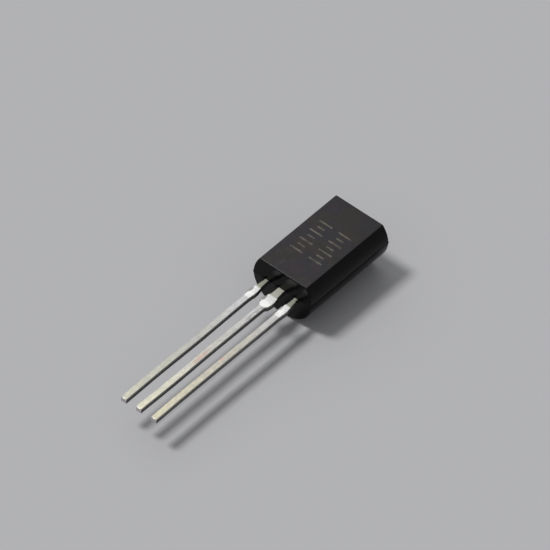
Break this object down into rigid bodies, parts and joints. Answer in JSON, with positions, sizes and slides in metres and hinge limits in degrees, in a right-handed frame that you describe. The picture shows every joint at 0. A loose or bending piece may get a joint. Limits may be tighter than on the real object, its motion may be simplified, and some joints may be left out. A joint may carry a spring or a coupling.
{
  "type": "to-92 transistor",
  "caption": "Through-hole transistor in a long D-shaped moulded body with a flat marking face, a round back and a row of straight tinned leads.",
  "frame": {"origin": "middle of the overall box, on the surface that the round back rests on", "axes": "+Z out of the flat marking face, +Y from the lead tips to the top end of the body, +X across the lead row from the emitter to the base"},
  "size_m": [0.005, 0.0222, 0.0039],
  "materials": {
    "epoxy_body": "black mineral-filled epoxy: fine satin on the flat face, polished on the ends and the round back",
    "tinned_lead": "tin plating over copper alloy, satin with faint lengthwise rolling lines",
    "solder": "dull grey solder",
    "silicon": "polished dark blue-grey silicon",
    "gold_wire": "bright drawn gold"
  },
  "bodies": {
    "root": {"moulded_body": "epoxy_body", "emitter_lead": "tinned_lead", "collector_lead": "tinned_lead", "base_lead": "tinned_lead", "die_attach_solder": "solder", "silicon_die": "silicon", "emitter_bond_wire": "gold_wire", "base_bond_wire": "gold_wire"}
  },
  "joints": []
}
